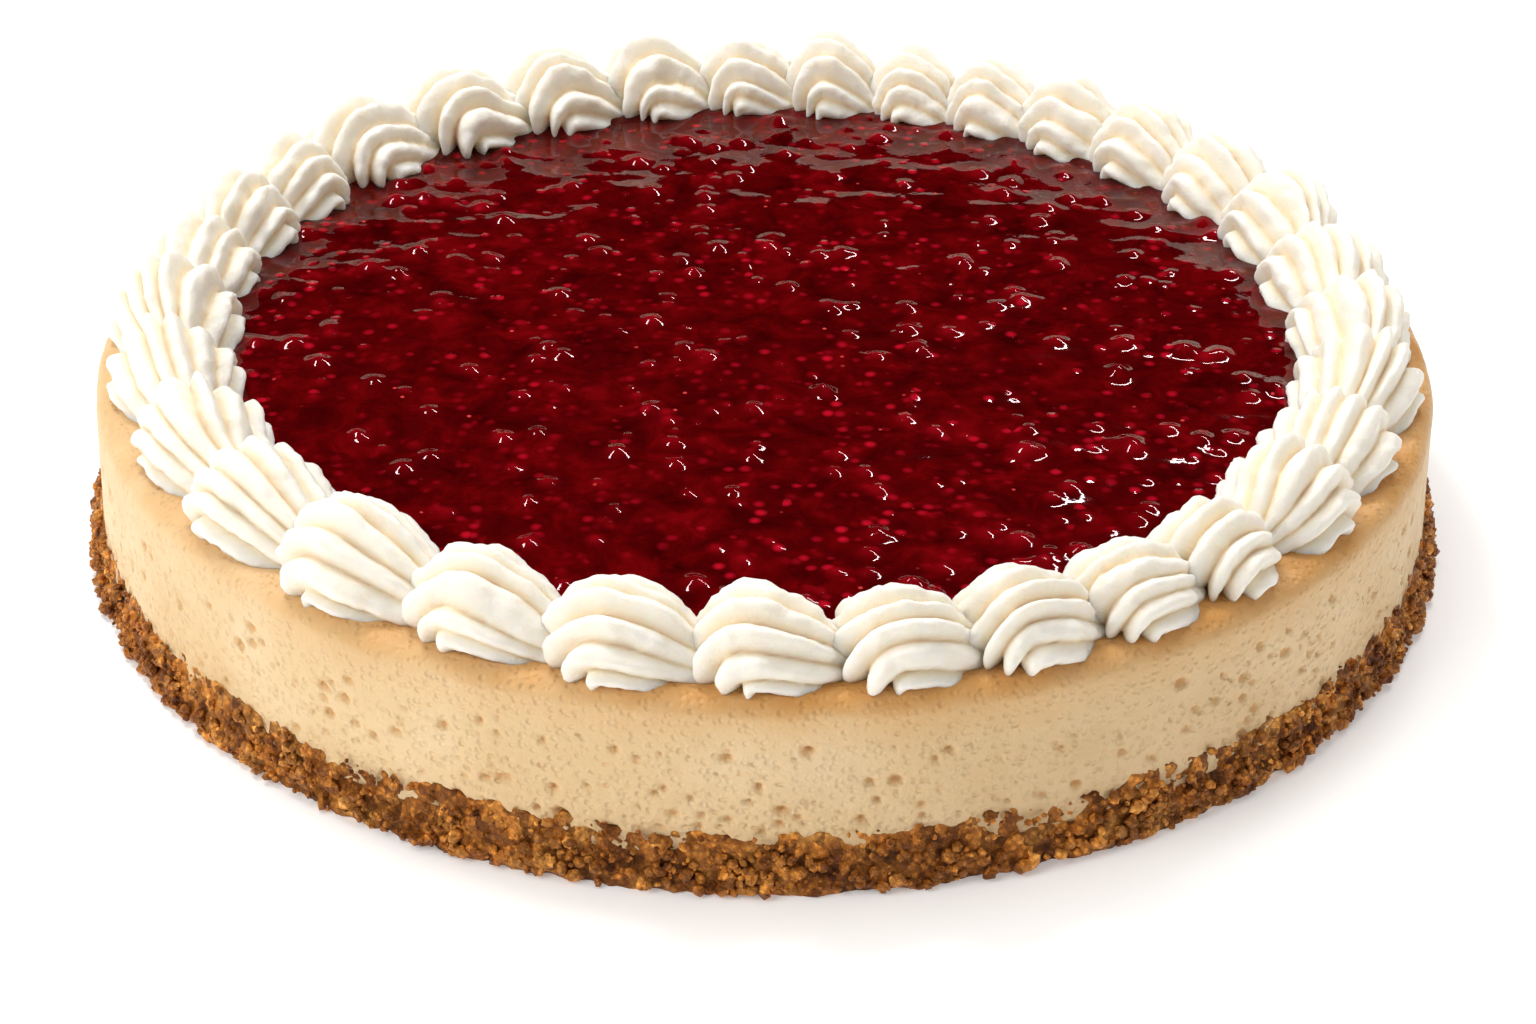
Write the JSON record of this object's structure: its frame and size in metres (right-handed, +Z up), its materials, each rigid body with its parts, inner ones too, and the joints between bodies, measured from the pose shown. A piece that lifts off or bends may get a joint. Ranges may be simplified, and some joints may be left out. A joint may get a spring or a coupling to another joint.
{
  "type": "baked cheesecake",
  "caption": "Round baked cheesecake on a crumb crust, with a glossy red berry topping inside a ring of piped cream shells.",
  "frame": {"origin": "middle of the crust's flat underside", "axes": "+Z up through the middle of the cake, towards the topping; -Y towards the camera of the picture"},
  "size_m": [0.2591, 0.2591, 0.0508],
  "materials": {
    "crumb": "dry golden-brown biscuit crumb",
    "baked_filling": "matt baked curd with small air holes, browned at the rim",
    "berry_jelly": "wet glossy dark red jelly with berry pieces and seeds",
    "whipped_cream": "soft satin whipped cream"
  },
  "bodies": {
    "root": {"crumb_crust": "crumb", "cheesecake_filling": "baked_filling", "raspberry_topping": "berry_jelly", "cream_shell_01": "whipped_cream", "cream_shell_02": "whipped_cream", "cream_shell_03": "whipped_cream", "cream_shell_04": "whipped_cream", "cream_shell_05": "whipped_cream", "cream_shell_06": "whipped_cream", "cream_shell_07": "whipped_cream", "cream_shell_08": "whipped_cream", "cream_shell_09": "whipped_cream", "cream_shell_10": "whipped_cream", "cream_shell_11": "whipped_cream", "cream_shell_12": "whipped_cream", "cream_shell_13": "whipped_cream", "cream_shell_14": "whipped_cream", "cream_shell_15": "whipped_cream", "cream_shell_16": "whipped_cream", "cream_shell_17": "whipped_cream", "cream_shell_18": "whipped_cream", "cream_shell_19": "whipped_cream", "cream_shell_20": "whipped_cream", "cream_shell_21": "whipped_cream", "cream_shell_22": "whipped_cream", "cream_shell_23": "whipped_cream", "cream_shell_24": "whipped_cream", "cream_shell_25": "whipped_cream", "cream_shell_26": "whipped_cream", "cream_shell_27": "whipped_cream", "cream_shell_28": "whipped_cream", "cream_shell_29": "whipped_cream", "cream_shell_30": "whipped_cream", "cream_shell_31": "whipped_cream", "cream_shell_32": "whipped_cream"}
  },
  "joints": []
}
